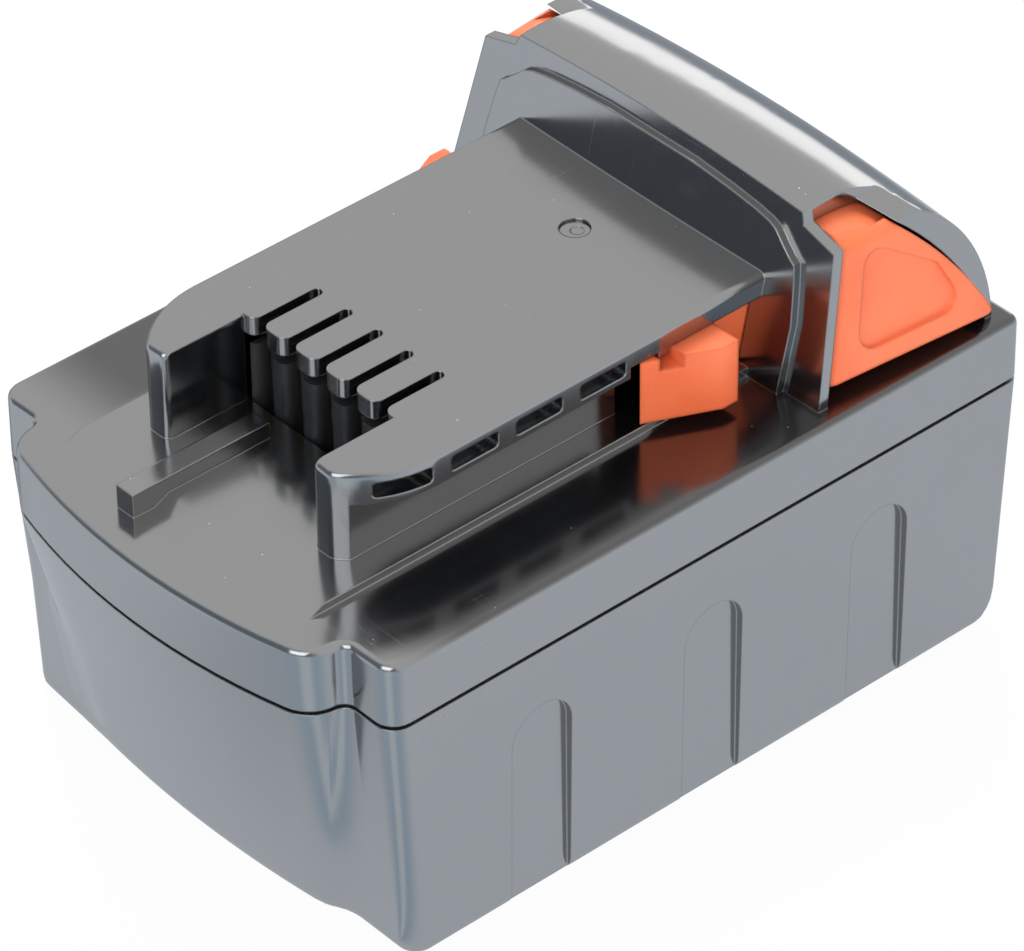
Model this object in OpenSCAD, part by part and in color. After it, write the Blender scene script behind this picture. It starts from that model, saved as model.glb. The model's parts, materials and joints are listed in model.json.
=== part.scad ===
// Cased battery pack for power tools: ten round cells, a slide-on rail, two spring latches, a charge gauge
// Millimetres, +Z up, the open front of the rail points to -Y, origin at the middle of the base

/* [Cells] */
// Diameter of one cell
cell_d = 18.3; // [18:0.1:21]
// Length of one cell
cell_l = 65; // [65:0.5:70]
// Gap between neighbouring cells
cell_gap = 0.4; // [0.3:0.1:1]

/* [Case] */
// Room between cell end and the outside of the case, each side
side_room = 7.5; // [7:0.1:10]
// Room between the cell block and the rear of the case
rear_room = 9.9; // [9.5:0.1:14]
// Room between the cell block and the front shoulder
front_room = 6.9; // [6.2:0.1:12]
// Wall and floor thickness
wall = 2.4; // [2.2:0.1:3]
// Height of the cover's band between seam and deck
band_h = 10.1; // [9.8:0.1:14]
// How far the front bow stands ahead of the shoulders
bow_out = 10; // [9:0.1:12]
// Half width of the front bow at the seam
bow_half = 31.1; // [29:0.1:32]
// Radius of the front bow in plan
bow_r = 109; // [90:1:130]
// Width of one side recess
recess_w = 10.5; // [8:0.1:12]
// Depth of the side recesses
recess_d = 0.8; // [0.6:0.1:1.2]
// Distance between side recesses
recess_pitch = 30.5; // [24:0.1:32]

/* [Rail] */
// Height of the rail's top plate above the deck
rail_h = 15.15; // [14:0.05:18]
// Half width of the rail lips
lip_half = 24.7; // [24:0.1:26]
// Half width of the neck under the lips
neck_half = 20.3; // [20:0.1:20.8]
// Height of the lips
lip_h = 5.05; // [4.6:0.05:6]
// Half width of the bay between the front prongs
bay_half = 14.9; // [14.6:0.1:15.4]
// Depth of the bay behind the prong fronts
bay_depth = 13.65; // [11:0.05:15]
// Distance between terminal slots
slot_pitch = 6.1; // [5.9:0.05:6.2]
// Width of one terminal slot
slot_w = 1.7; // [1.5:0.1:2]
// Length of one terminal slot
slot_l = 10.95; // [9:0.05:12]

/* [Head] */
// Radius of the head's rear arc
head_r = 23.2; // [22.5:0.1:24]
// Wall of the head shell
head_wall = 2.4; // [2.2:0.1:2.6]
// Thickness of the front flange
flange_t = 2.1; // [1.8:0.1:2.4]
// How far the front panel stands out of the flange
panel_out = 1.2; // [0.8:0.1:1.6]
// Crown radius of the head across the width
crown_r = 340; // [300:10:500]

/* [Latches] */
// Inward travel of a latch
latch_travel = 4.5; // [3:0.1:4.6]
// How far the catch stands out of the lip
catch_out = 4.7; // [3.5:0.1:5]
// Clearance around sliding pieces
slide_gap = 0.4; // [0.3:0.05:0.5]
// Wire thickness of a latch spring
spring_wire = 0.7; // [0.6:0.05:0.8]
// Outside diameter of a latch spring
spring_d = 6; // [5.6:0.1:6.6]

/* [Gauge] */
// Travel of the gauge button
gauge_travel = 0.8; // [0.5:0.1:0.9]
// Distance between gauge lights
lens_pitch = 3.4; // [3.3:0.1:3.5]
// Angle of the gauge window above the horizontal
gauge_a = 25; // [20:1:30]

/* [Hidden] */
// Cell block
columns = 5;
rows = 2;
pitch = cell_d + cell_gap;
block_l = columns * pitch;
holder_wall = 1.1;
fit_gap = 0.3;
seat_gap = 0.1;
// Case
case_w = cell_l + 2 * side_room;
case_l = block_l + rear_room + front_room + bow_out + 2.1;
half_w = case_w / 2;
half_l = case_l / 2;
shoulder_y = -half_l + bow_out;
block_z = wall + fit_gap;
seam_z = block_z + rows * pitch + 2 * holder_wall - 0.6;
deck_z = seam_z + band_h;
under_z = deck_z - wall;
block_y = half_l - rear_room - block_l / 2;
seam_gap = 0.7;
lip_rise = 2.2;
lip_t = 1.2;
deck_round = 1.1;
base_round = 2.2;
base_step = 0.3;
rear_round = 5.5;
side_draft = 0.6;
shoulder_lean = 3.3;
rear_lean = 2.0;
bow_lean = 10.1;
bow_narrow = 2.5;
bow_flatten = 80;
bow_corner = 5.5;
corner_ease = 2.5;
bow_sweep = 1.8;
sweep_ease = 6.2;
case_corner = 3.2;
rear_corner = 1.6;
// Rail
pad_half = lip_half + 0.1;
pad_h = 1.2;
pad_z = deck_z + pad_h;
plate_z = deck_z + rail_h;
plate_t = 3;
lip_z = plate_z - lip_h;
nose_r = 2.2;
nose_a = 47;
lip_sweep = 17;
lip_round = 1;
prong_y = -half_l + 18.8;
tongue_y = prong_y + bay_depth;
tunnel_half = neck_half - 2.3;
window_l = 8;
window_h = 2.4;
window_d = 3;
window_pitch = 11.1;
window_y = prong_y + 4.05;
window_round = 0.6;
tip_r = 1.5;
rib_w = 3.4;
rib_x = -8.1;
rib_h = 3.6;
// Head
head_y = half_l - 35.6;
head_tilt = 0.22;
head_cy = half_l - 26.2;
head_cz = deck_z + 3.4;
head_top = head_cz + head_r;
crown_z = head_top - crown_r;
crown_a = asin((half_w + 4) / crown_r);
foot_half = half_w - 2.7;
shoulder_half = foot_half - 2.8;
shoulder_z = head_top - 4.6;
plateau_half = shoulder_half - 6.7;
panel_skin = 1.9;
// Latches
arm_x = neck_half + 2.2;
arm_t = 2.9;
arm_in = arm_x - arm_t;
thin_lip = 3.3;
latch_top = plate_z - thin_lip;
catch_y = head_y - 20;
opening_y = catch_y - 0.6;
button_z = deck_z + 1.8;
button_wall = 2.3;
button_r = 62;
button_cy = head_cy - 33.9;
button_cz = head_cz - 28.4;
button_round = 1.3;
tip_round = 1.5;
tip_wall = 1.2;
wing_x = plateau_half + 0.2;
flare = 0.08;
notch_y = catch_y + 2.5;
notch_l = 3.1;
spring_y = head_y + 8.6;
spring_z = deck_z + 8;
post_half = 1.3;
seat_x = arm_in - 2.8;
spring_l = seat_x - post_half - 2 * seat_gap;
spring_turns = 6;
coil_r = (spring_d - spring_wire) / 2;
peg_d = spring_d - 2 * spring_wire - 0.8;
// Screws and bosses
screw_d = 2.6;
head_d = 4.6;
boss_d = 6.6;
case_screw_l = 18;
screw_top_h = 1.9;
cover_screw_l = 14;
cover_head_d = 4.1;
cover_top_h = 1.7;
switch_near = 8;
switch_far = 19;
bore_d = screw_d + 0.06;
seat_z = seam_z - 14;
front_screw = [12, shoulder_y + 5.3];
rear_screw = [half_w - 10, half_l - 6.2];
plug_d = 4.3;
plug_y = head_y - 9.35;
// Electronics
tray_z = block_z + rows * pitch + 2 * holder_wall + 0.2;
tray_t = 1.3;
board_z = tray_z + tray_t + 1.4;
board_t = 1.6;
board_half = half_w - 12;
board_y0 = tongue_y - 2.6;
board_y1 = head_y + 20;
standoff_x = board_half - 4;
block_top = lip_z + 0.2;
block_half = bay_half - fit_gap;
pillar_gap = 2.4;
block_front = tongue_y + 0.5;
block_back = tongue_y + slot_l + 2.5;
// Gauge
lens_d = 2.6;
lens_x = -8.4;
gauge_x = 7.2;
gauge_d = 5;
face_z = head_r - 0.8;
gauge_board_z = head_r - 8;
gauge_board_t = 1.2;
gauge_half = 13.8;
gauge_post = head_r - head_wall + 0.6 - gauge_board_z - gauge_board_t;
// Links between cells: first column and number of columns in each, right side then left side
right_links = [[0, 2], [2, 2], [4, 1]];
left_links = [[0, 1], [1, 2], [3, 2]];
link_t = 0.2;
link_x = cell_l / 2 + 0.47;
sheet_x = link_x + link_t + 0.12;
sheet_t = 0.4;

// Inset of an edge rounded with radius r, at distance h from its outer face
function edge_inset(h, r) = h >= r ? 0 : r - sqrt(r * r - (r - h) * (r - h));

// Points on an arc from angle a0 to a1
function arc_points(cx, cy, r, a0, a1, n) =
    [for (i = [0:n]) let (a = a0 + (a1 - a0) * i / n) [cx + r * cos(a), cy + r * sin(a)]];

// Right half of the case plan: bow, S-shaped corner, shoulder, side and rear corner
function half_plan(hw, yf, yr, b, ya, r, rc, rs, corner, rear) =
    let (
        cy = ya + r - sqrt(pow(r - rc, 2) - pow(b - rc, 2)),
        a1 = atan2(cy - ya - r, b - rc),
        turn = acos(max(min((cy - yf + rs) / (rc + rs), 0.9), 0))
    )
    concat(
        arc_points(0, ya + r, r, -90, a1, 7),
        arc_points(b - rc, cy, rc, a1 + 12, turn - 90, 6),
        arc_points(b - rc + (rc + rs) * sin(turn), yf - rs, rs, turn + 80, 90, 5),
        arc_points(hw - corner, yf + corner, corner, -90, 0, 6),
        arc_points(hw - rear, yr - rear, rear, 0, 90, 6)
    );

// Whole plan from its right half
function whole_plan(half) =
    concat(half, [for (i = [len(half) - 1:-1:1]) [-half[i][0], half[i][1]]]);

// Outline of the tub or cover at height z, drawn in by e all round
function case_plan(z, e) =
    let (
        low = z < seam_z ? 1 - z / seam_z : 0,
        round_in = z < rear_round ? edge_inset(z, base_round) : 0,
        rear_in = z < rear_round ? edge_inset(z, rear_round) : 0,
        d = e + round_in
    )
    whole_plan(half_plan(
        half_w - side_draft * low - d,
        shoulder_y + shoulder_lean * low + d,
        half_l - rear_lean * low - e - rear_in,
        bow_half - bow_narrow * low - d,
        -half_l + bow_lean * low + d,
        bow_r + bow_flatten * low - d,
        max(bow_corner + corner_ease * low - d, 0.5),
        bow_sweep + sweep_ease * low + d,
        max(case_corner - d, 0.8),
        max(rear_corner - d, 0.5)
    ));

// Mean of a ring's points
function middle(ring) = [for (p = ring) 1 / len(ring)] * ring;

// Closed skin through a stack of rings with equal point counts, capped by fans from the ends' middles
module ring_loft(rings) {
    n = len(rings[0]);
    m = len(rings);
    top = (m - 1) * n;
    points = concat([for (ring = rings) each ring], [middle(rings[0]), middle(rings[m - 1])]);
    sides = [for (j = [0:m - 2]) for (i = [0:n - 1])
        let (a = j * n + i, b = j * n + (i + 1) % n)
        each [[a, a + n, b + n], [a, b + n, b]]];
    first = [for (i = [0:n - 1]) [m * n, i, (i + 1) % n]];
    last = [for (i = [0:n - 1]) [m * n + 1, top + (i + 1) % n, top + i]];
    polyhedron(points, concat(first, sides, last), convexity = 8);
}

// Closed skin whose last ring meets the first again, like a bent tube
module ring_tube(rings) {
    n = len(rings[0]);
    m = len(rings);
    points = [for (ring = rings) each ring];
    sides = [for (j = [0:m - 1]) for (i = [0:n - 1])
        let (k = (i + 1) % n, up = ((j + 1) % m) * n)
        each [[j * n + i, up + i, up + k], [j * n + i, up + k, j * n + k]]];
    polyhedron(points, sides, convexity = 8);
}

function ring_at(z, e) = [for (p = case_plan(z, e)) [p[0], p[1], z]];
function ring_from(z, shape_z, e) = [for (p = case_plan(shape_z, e)) [p[0], p[1], z]];

// A side profile drawn as (y, z), pushed along X
module along_x(x0, x1) {
    translate([x0, 0, 0])
        rotate([90, 0, 90])
            linear_extrude(x1 - x0)
                children();
}

// A front profile drawn as (x, z), pushed along Y
module along_y(y0, y1) {
    translate([0, y1, 0])
        rotate([90, 0, 0])
            linear_extrude(y1 - y0)
                children();
}

module box(x0, x1, y0, y1, z0, z1) {
    translate([x0, y0, z0])
        cube([x1 - x0, y1 - y0, z1 - z0]);
}

module both_sides() {
    children();
    mirror([1, 0, 0]) children();
}

module at_screws() {
    for (side = [-1, 1]) {
        translate([side * front_screw[0], front_screw[1], 0]) children();
        translate([side * rear_screw[0], rear_screw[1], 0]) children();
    }
}

// Side recess: a tall arch that runs out through the base
module recess_arch(y) {
    along_x(half_w - side_draft - recess_d, half_w + 2) {
        translate([y, seam_z - 9.4 - recess_w / 2])
            circle(d = recess_w, $fn = 64);
        translate([y - recess_w / 2, -1])
            square([recess_w, seam_z - 8.4 - recess_w / 2]);
    }
}

module lower_case() {
    top = seam_z - seam_gap / 2;
    outer_rings = [for (z = [base_step, 0.9, 1.6, 2.6, 3.8, 5.5, 20]) ring_at(z, 0)];
    lip_rings = [
        ring_at(top, 0),
        ring_at(top, wall - lip_t),
        ring_from(seam_z + lip_rise, seam_z, wall - lip_t),
        ring_from(seam_z + lip_rise, seam_z, wall)
    ];
    inner_rings = [
        ring_from(20, 20, wall),
        ring_from(wall + 1.5, 5.6, wall),
        ring_from(wall + 0.2, 5.6, wall + 1.2),
        ring_from(base_step, 5.6, wall + 3)
    ];
    rib_end = sheet_x + sheet_t + fit_gap;
    color([0.06, 0.06, 0.065])
    difference() {
        union() {
            ring_tube(concat(outer_rings, lip_rings, inner_rings));
            linear_extrude(wall) polygon(case_plan(5.6, wall + 2));
            at_screws()
                translate([0, 0, 1.6])
                    cylinder(d = boss_d, h = seam_z - 1.6, $fn = 48);
            both_sides()
                for (y = [-1.5 : 1 : 1.5])
                    translate([0, block_y + y * recess_pitch, 0])
                        box(rib_end, half_w - wall, -0.8, 0.8, wall - 0.4, seam_z - 4);
        }
        both_sides()
            for (k = [-1:1])
                recess_arch(half_l - 56.15 + k * recess_pitch);
        at_screws() {
            translate([0, 0, -1])
                cylinder(d = head_d + 0.4, h = seat_z + 1, $fn = 48);
            cylinder(d = screw_d + 0.4, h = seam_z + 1, $fn = 48);
        }
    }
}

// Front line of the head at height z
function front_at(z) = head_y + head_tilt * (z - deck_z);

// Side profile of the head as (y, z): front line set back by front, arc drawn in by skin, cut at foot
module head_profile(front, skin, foot) {
    intersection() {
        union() {
            translate([head_cy, head_cz])
                circle(r = head_r - skin, $fn = 96);
            translate([head_y - 5, foot])
                square([head_cy + head_r - skin - head_y + 5, head_cz - foot]);
        }
        polygon([
            [front_at(foot) + front, foot],
            [half_l + 10, foot],
            [half_l + 10, head_top + 10],
            [front_at(head_top + 10) + front, head_top + 10]
        ]);
    }
}

// Turns a side profile about a long axis far below, so that the head is crowned across its width
module crown_sweep() {
    translate([0, 0, crown_z])
        rotate([-90, 0, 0])
            rotate([0, 0, -90 - crown_a])
                rotate_extrude(angle = 2 * crown_a, $fn = 720)
                    translate([-crown_z, 0])
                        mirror([1, -1, 0])
                            children();
}

// Front outline of the head: leaning sides, shoulders and the raised middle
module head_outline() {
    half = [
        [foot_half, deck_z - 1],
        [shoulder_half, shoulder_z],
        [plateau_half + 0.7, shoulder_z + 1.5],
        [plateau_half, shoulder_z + 3.4],
        [plateau_half, head_top + 4]
    ];
    polygon(concat(half, [for (i = [len(half) - 1:-1:0]) [-half[i][0], half[i][1]]]));
}

// Front outline of the raised panel
module panel_outline() {
    half = [
        [foot_half - 6.9, deck_z - 1],
        [foot_half - 6.7, head_top - 16.4],
        [foot_half - 7.5, head_top - 11.1],
        [foot_half - 8.1, head_top - 8.2],
        [foot_half - 9.1, head_top - 7.6],
        [foot_half - 10.7, head_top - 6.3],
        [foot_half - 12.4, head_top - 4.8],
        [foot_half - 13.9, head_top - 4.2],
        [foot_half - 16.6, head_top - 3.7],
        [foot_half - 22, head_top - 3.1],
        [foot_half - 29, head_top - 2.6]
    ];
    polygon(concat(half, [for (i = [len(half) - 1:-1:0]) [-half[i][0], half[i][1]]]));
}

module at_gauge() {
    translate([0, head_cy, head_cz])
        rotate([gauge_a - 90, 0, 0])
            children();
}

module at_lenses() {
    for (i = [0:3])
        at_gauge()
            translate([lens_x + i * lens_pitch, 0, 0])
                children();
}

// Rear line of a button as (y, z), set out by grow and closed in front
module button_side(grow, front, low) {
    intersection() {
        translate([button_cy, button_cz])
            circle(r = button_r + grow, $fn = 240);
        polygon([
            [front_at(low) + front, low],
            [head_cy + head_r - tip_wall - slide_gap + grow, low],
            [head_cy + head_r - tip_wall - slide_gap + grow, head_top + 6],
            [front_at(head_top + 6) + front, head_top + 6]
        ]);
    }
}

module head_shell() {
    difference() {
        union() {
            intersection() {
                crown_sweep() head_profile(0, 0, deck_z - 0.4);
                along_y(head_y - 5, half_l) head_outline();
            }
            intersection() {
                difference() {
                    crown_sweep() head_profile(-panel_out, panel_skin, deck_z - 0.4);
                    crown_sweep() head_profile(flange_t - 0.2, -1, deck_z - 1);
                }
                along_y(head_y - 5, head_y + 12) panel_outline();
            }
        }
        intersection() {
            crown_sweep() head_profile(flange_t, head_wall, deck_z);
            box(-wing_x - 0.1, wing_x + 0.1, head_y - 5, half_l, deck_z - 1, head_top + 5);
        }
        both_sides()
            along_x(wing_x, half_w + 4)
                button_side(slide_gap, flange_t, deck_z);
        at_gauge()
            translate([-gauge_half + 1.5, -4, face_z])
                cube([2 * gauge_half - 3, 8, 3]);
        at_lenses()
            cylinder(d = lens_d + 0.2, h = head_r + 2, $fn = 32);
        at_gauge()
            translate([gauge_x, 0, 0])
                cylinder(d = gauge_d + 2 * fit_gap, h = head_r + 2, $fn = 48);
    }
}

// Outline of one lip strip: small round nose, then a wide sweep to the side, drawn in by e
function strip_points(e) =
    let (
        nose_x = lip_half - lip_sweep + (lip_sweep - nose_r) * cos(nose_a),
        sweep_y = prong_y + nose_r + (lip_sweep - nose_r) * sin(nose_a)
    )
    concat(
        arc_points(bay_half + 0.4 * e + 1, prong_y + e + 1, 1, 180, 270, 4),
        arc_points(nose_x, prong_y + nose_r, nose_r - e, -90, -nose_a, 4),
        arc_points(lip_half - lip_sweep, sweep_y, lip_sweep - e, 4 - nose_a, 0, 9),
        [[lip_half - e, front_at(lip_z) + 1.4], [bay_half + 0.4 * e, front_at(lip_z) + 1.4]]
    );

module lip_strip() {
    hull() {
        translate([0, 0, lip_z])
            linear_extrude(lip_h - lip_round) polygon(strip_points(0));
        for (a = [22.5 : 22.5 : 90])
            translate([0, 0, plate_z - lip_round])
                linear_extrude(lip_round * sin(a)) polygon(strip_points(lip_round * (1 - cos(a))));
    }
}

// Plan of the neck: the lip's own nose, cut off at the neck's width
module neck_plan() {
    for (side = [0, 1])
        mirror([side, 0])
            intersection() {
                polygon(strip_points(0));
                translate([bay_half, prong_y - 1])
                    square([neck_half - bay_half, front_at(deck_z) + 2 - prong_y]);
            }
}

// Rounded lips at the mouth of a slot of width w that opens at y0
module slot_mouth(w, y0) {
    difference() {
        translate([-w / 2 - tip_r, y0 - 0.1])
            square([w + 2 * tip_r, tip_r + 0.1]);
        for (side = [-1, 1])
            translate([side * (w / 2 + tip_r), y0 + tip_r])
                circle(r = tip_r, $fn = 32);
    }
}

// One terminal slot with rounded lips at its mouth and a round end
module slot_plan() {
    end_y = tongue_y + slot_l - slot_w / 2;
    translate([-slot_w / 2, tongue_y - 1])
        square([slot_w, end_y - tongue_y + 1]);
    translate([0, end_y])
        circle(d = slot_w, $fn = 32);
    slot_mouth(slot_w, tongue_y);
}

// A window through the lip as (y, z), with round corners
module window_plan(y, z) {
    r = window_round;
    translate([y + r, z]) square([window_l - 2 * r, window_h]);
    translate([y, z + r]) square([window_l, window_h - 2 * r]);
    for (u = [r, window_l - r], w = [r, window_h - r])
        translate([y + u, z + w]) circle(r = r, $fn = 24);
}

module rail_tower() {
    difference() {
        union() {
            translate([0, 0, deck_z - 0.4])
                linear_extrude(plate_z - plate_t - deck_z + 1) neck_plan();
            both_sides() lip_strip();
            box(-tunnel_half, tunnel_half, tongue_y, front_at(lip_z) + 1.4, plate_z - plate_t, plate_z);
        }
        box(-bay_half, bay_half, prong_y - 2, tongue_y, pad_z, plate_z + 1);
        box(-tunnel_half, tunnel_half, tongue_y - 0.01, head_y + 9, deck_z - 1, plate_z - plate_t);
        for (i = [-2:2])
            translate([i * slot_pitch, 0, plate_z - plate_t - 1])
                linear_extrude(plate_t + 2) slot_plan();
        both_sides() {
            for (k = [0:3])
                along_x(lip_half - window_d - (k == 0 ? 2 : 0), lip_half + 1)
                    window_plan(window_y + k * window_pitch, lip_z + 0.9);
            box(neck_half - 3, lip_half + 1, opening_y - 1.2, head_y + 9, lip_z - 1, latch_top);
        }
        box(-arm_x - slide_gap, arm_x + slide_gap, opening_y, head_y + 9, pad_z, latch_top);
    }
}

// Shell of the cover: band, rounded deck edge and the inner step for the tub's lip
module cover_shell() {
    foot = seam_z + seam_gap / 2;
    step = wall - lip_t - seat_gap;
    rounds = [for (a = [0 : 22.5 : 90])
        ring_from(deck_z - deck_round + deck_round * sin(a), seam_z, deck_round * (1 - cos(a)))];
    ring_loft(concat(
        [
            ring_from(under_z, seam_z, wall + 0.4),
            ring_from(seam_z + lip_rise + 0.4, seam_z, wall),
            ring_from(seam_z + lip_rise + 0.4, seam_z, step),
            ring_from(foot, seam_z, step),
            ring_from(foot, seam_z, 0)
        ],
        rounds
    ));
}

module upper_cover() {
    color([0.06, 0.06, 0.065])
    difference() {
        union() {
            difference() {
                union() {
                    cover_shell();
                    along_x(-pad_half, pad_half)
                        polygon([
                            [shoulder_y - 0.5, deck_z - 0.4],
                            [shoulder_y - 0.5, deck_z],
                            [shoulder_y + 1.9, pad_z],
                            [head_y + 3, pad_z],
                            [head_y + 3, deck_z - 0.4]
                        ]);
                    rail_tower();
                    head_shell();
                    translate([rib_x, 0, deck_z])
                        box(-rib_w / 2, rib_w / 2, -half_l + 6.1, tongue_y - 3.2, -0.4, rib_h);
                    at_screws()
                        translate([0, 0, seam_z])
                            cylinder(d = boss_d, h = under_z - seam_z + 0.5, $fn = 48);
                }
                box(-arm_x - slide_gap, arm_x + slide_gap, head_y - 4, head_y + 9, pad_z, latch_top);
                box(-bay_half, bay_half, tongue_y + 0.2, block_back + 0.6, under_z - 1, pad_z + 1);
                box(-5, 5, head_y + 13.5, head_y + 17.5, under_z - 1, deck_z + 1);
                translate([0, plug_y, under_z - 1])
                    cylinder(d = 7, h = 5.2, $fn = 48);
            }
            translate([0, plug_y, pad_z + 0.6])
                cylinder(d = 6.4, h = plate_z - plate_t - pad_z, $fn = 48);
            both_sides()
                translate([0, notch_y, latch_top])
                    box(arm_x + slide_gap, lip_half, 0.6, 2.5, -1, 0.5);
            spring_post();
            both_sides()
                at_gauge()
                    translate([gauge_half - 1.6, 0, gauge_board_z + gauge_board_t])
                        cylinder(d = 3, h = gauge_post, $fn = 32);
        }
        at_screws()
            translate([0, 0, seam_z - 1])
                cylinder(d = bore_d, h = 6.5, $fn = 32);
        translate([0, plug_y, plate_z - 0.6 - 1])
            cylinder(d = plug_d + 0.1, h = 3, $fn = 48);
        translate([0, plug_y, plate_z - 3.6])
            cylinder(d = 4.2, h = 3, $fn = 48);
        translate([0, plug_y, pad_z])
            cylinder(d = screw_d + 0.4, h = rail_h - pad_h, $fn = 32);
    }
}

// Post between the two latch springs
module spring_post() {
    box(-post_half, post_half, spring_y - 4, spring_y + 4, deck_z - 0.4, spring_z + 4.4);
    translate([-post_half - 2.4, spring_y, spring_z])
        rotate([0, 90, 0])
            cylinder(d = peg_d, h = 2 * post_half + 4.8, $fn = 32);
}

// Front outline of a button as (x, z), set out by grow, with its lower and upper outer edges rounded
module button_outline(grow) {
    r = max(button_round + min(grow, 0), 0.1);
    foot = foot_half - 0.5 + grow;
    top = shoulder_half - 0.5 + grow;
    polygon(concat(
        [[arm_in, button_z - min(grow, 0)]],
        arc_points(foot - r, button_z - min(grow, 0) + r, r, -90, 0, 4),
        arc_points(top - 2.2, shoulder_z - 2.2 + min(grow, 0), 2.2, 10, 70, 4),
        [[plateau_half + 1 + grow, shoulder_z + 2 + min(grow, 0)], [arm_in, shoulder_z + 2 + min(grow, 0)]]
    ));
}

// Leans its children back with the front line of the head
module leaned() {
    multmatrix([[1, 0, 0, 0], [0, 1, head_tilt, -head_tilt * deck_z], [0, 0, 1, 0], [0, 0, 0, 1]])
        children();
}

// Outside of a button, with a rounded front edge, widening to the rear
module button_form(shift) {
    front = head_y + flange_t + slide_gap;
    translate([shift, 0, 0])
        hull() {
            for (a = [0 : 30 : 90])
                let (out = button_round * (1 - sin(a)), y = front + button_round * (1 - cos(a)))
                    leaned()
                        along_y(y, y + 0.05) button_outline(-out);
            along_y(half_l - 2.1, half_l - 2) button_outline(flare * 33);
        }
}

module finger_dish() {
    y0 = head_y + 11.2;
    z0 = button_z + 6.2;
    along_x(half_w - 20, half_w + 5)
        hull() {
            translate([y0, z0]) circle(r = 2.6, $fn = 32);
            translate([y0 + 11.4, z0]) circle(r = 2.4, $fn = 32);
            translate([y0 + 9.4, z0 + 4]) circle(r = 2.4, $fn = 32);
            translate([y0 + 1.8, z0 + 8.9]) circle(r = 2.4, $fn = 32);
        }
}

// What is cut away as (y, z) so that a button's rear tip is round
module button_tip() {
    z = button_z + tip_round;
    y = button_cy + sqrt(pow(button_r - tip_round, 2) - pow(z - button_cz, 2));
    reach = 3 * tip_round;
    rise = (z - button_cz) / (y - button_cy);
    translate([y, z])
        difference() {
            polygon([[0, 0], [0, -reach], [reach, -reach], [reach, reach * rise]]);
            circle(r = tip_round, $fn = 48);
        }
}

module latch_body() {
    front = flange_t + slide_gap;
    skin = head_wall + slide_gap;
    low = pad_z + fit_gap;
    high = latch_top - fit_gap;
    difference() {
        intersection() {
            union() {
                crown_sweep() head_profile(front, skin, button_z - 4);
                along_x(wing_x + latch_travel + slide_gap, half_w + 4) button_side(0, front, button_z - 4);
            }
            along_x(0, half_w + 4) button_side(0, front, button_z - 4);
            button_form(0);
        }
        intersection() {
            crown_sweep() head_profile(front + button_wall, skin + button_wall, button_z - 4);
            along_x(0, half_w + 4) button_side(-button_wall, front + button_wall, button_z);
            translate([0, 0, button_wall]) button_form(-button_wall - 0.8);
            box(0, half_w, 0, half_l, button_z + button_wall, head_top);
        }
        difference() {
            finger_dish();
            button_form(-0.8);
        }
        along_x(0, half_w + 4) button_tip();
    }
    difference() {
        union() {
            translate([0, 0, low])
                linear_extrude(high - low)
                    polygon([
                        [arm_in, catch_y + 5.2],
                        [lip_half - 0.2, catch_y],
                        [lip_half + catch_out, catch_y + 10.4],
                        [lip_half + catch_out, catch_y + 13.1],
                        [arm_x, catch_y + 13.1],
                        [arm_x, spring_y + 3.4],
                        [arm_in, spring_y + 3.4]
                    ]);
            box(seat_x, arm_in + 0.5, spring_y - 3.4, spring_y + 3.4, low + 0.6, spring_z + 4.4);
            translate([seat_x - 2.4, spring_y, spring_z])
                rotate([0, 90, 0])
                    cylinder(d = peg_d, h = 3, $fn = 32);
        }
        box(arm_in - 1, lip_half + catch_out + 1, notch_y, notch_y + notch_l, high - 1.9, high + 1);
    }
}

module right_latch() {
    color([0.87, 0.12, 0.04]) latch_body();
}

module left_latch() {
    color([0.87, 0.12, 0.04]) mirror([1, 0, 0]) latch_body();
}

// Points of the spring's wire centre, along X
steps = 8 * spring_turns;
spring_rise = spring_l - spring_wire;
spring_path = [for (i = [0:steps]) [
    post_half + seat_gap + spring_wire / 2 + spring_rise * i / steps,
    coil_r * cos(360 * i / 8),
    coil_r * sin(360 * i / 8)
]];
// Least distance between one turn and the next, wire surface to wire surface
spring_self_gap = min([for (i = [0:steps - 8]) norm(spring_path[i + 8] - spring_path[i])]) - spring_wire;
echo(spring_self_gap = spring_self_gap);

// One unbroken round wire through the path points
module wire_tube(path, d) {
    sides = 6;
    n = len(path);
    rings = [for (i = [0:n - 1])
        let (
            t = path[min(i + 1, n - 1)] - path[max(i - 1, 0)],
            w = t / norm(t),
            out = [0, path[i][1], path[i][2]] / norm([0, path[i][1], path[i][2]]),
            up = cross(w, out) / norm(cross(w, out)),
            flat = cross(up, w)
        )
        [for (k = [0:sides - 1])
            let (a = 360 * k / sides)
            path[i] + d / 2 * (cos(a) * flat + sin(a) * up)]];
    ring_loft(rings);
}

module right_latch_spring() {
    color([0.75, 0.76, 0.78])
        translate([0, spring_y, spring_z])
            wire_tube(spring_path, spring_wire);
}

module left_latch_spring() {
    color([0.75, 0.76, 0.78])
        mirror([1, 0, 0])
            translate([0, spring_y, spring_z])
                wire_tube(spring_path, spring_wire);
}

// Plan of the block: pillars with round noses between the contact slots
module terminal_plan() {
    difference() {
        translate([-block_half, block_front])
            square([2 * block_half, block_back - block_front]);
        for (i = [-2:2]) {
            translate([i * slot_pitch - pillar_gap / 2, block_front - 1])
                square([pillar_gap, block_back - block_front - 1.4]);
            translate([i * slot_pitch, 0])
                slot_mouth(pillar_gap, block_front);
        }
    }
}

module terminal_block() {
    low = board_z + board_t;
    color([0.03, 0.03, 0.032])
    difference() {
        union() {
            translate([0, 0, low + 2.2])
                linear_extrude(block_top - low - 2.2) terminal_plan();
            box(-block_half, block_half, block_front, block_back, low + 0.05, low + 3.4);
        }
        for (i = [-2:2])
            translate([i * slot_pitch, 0, 0])
                box(-1, 1, block_front + 1.4, block_back - 2, board_z, low + 4);
    }
}

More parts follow.
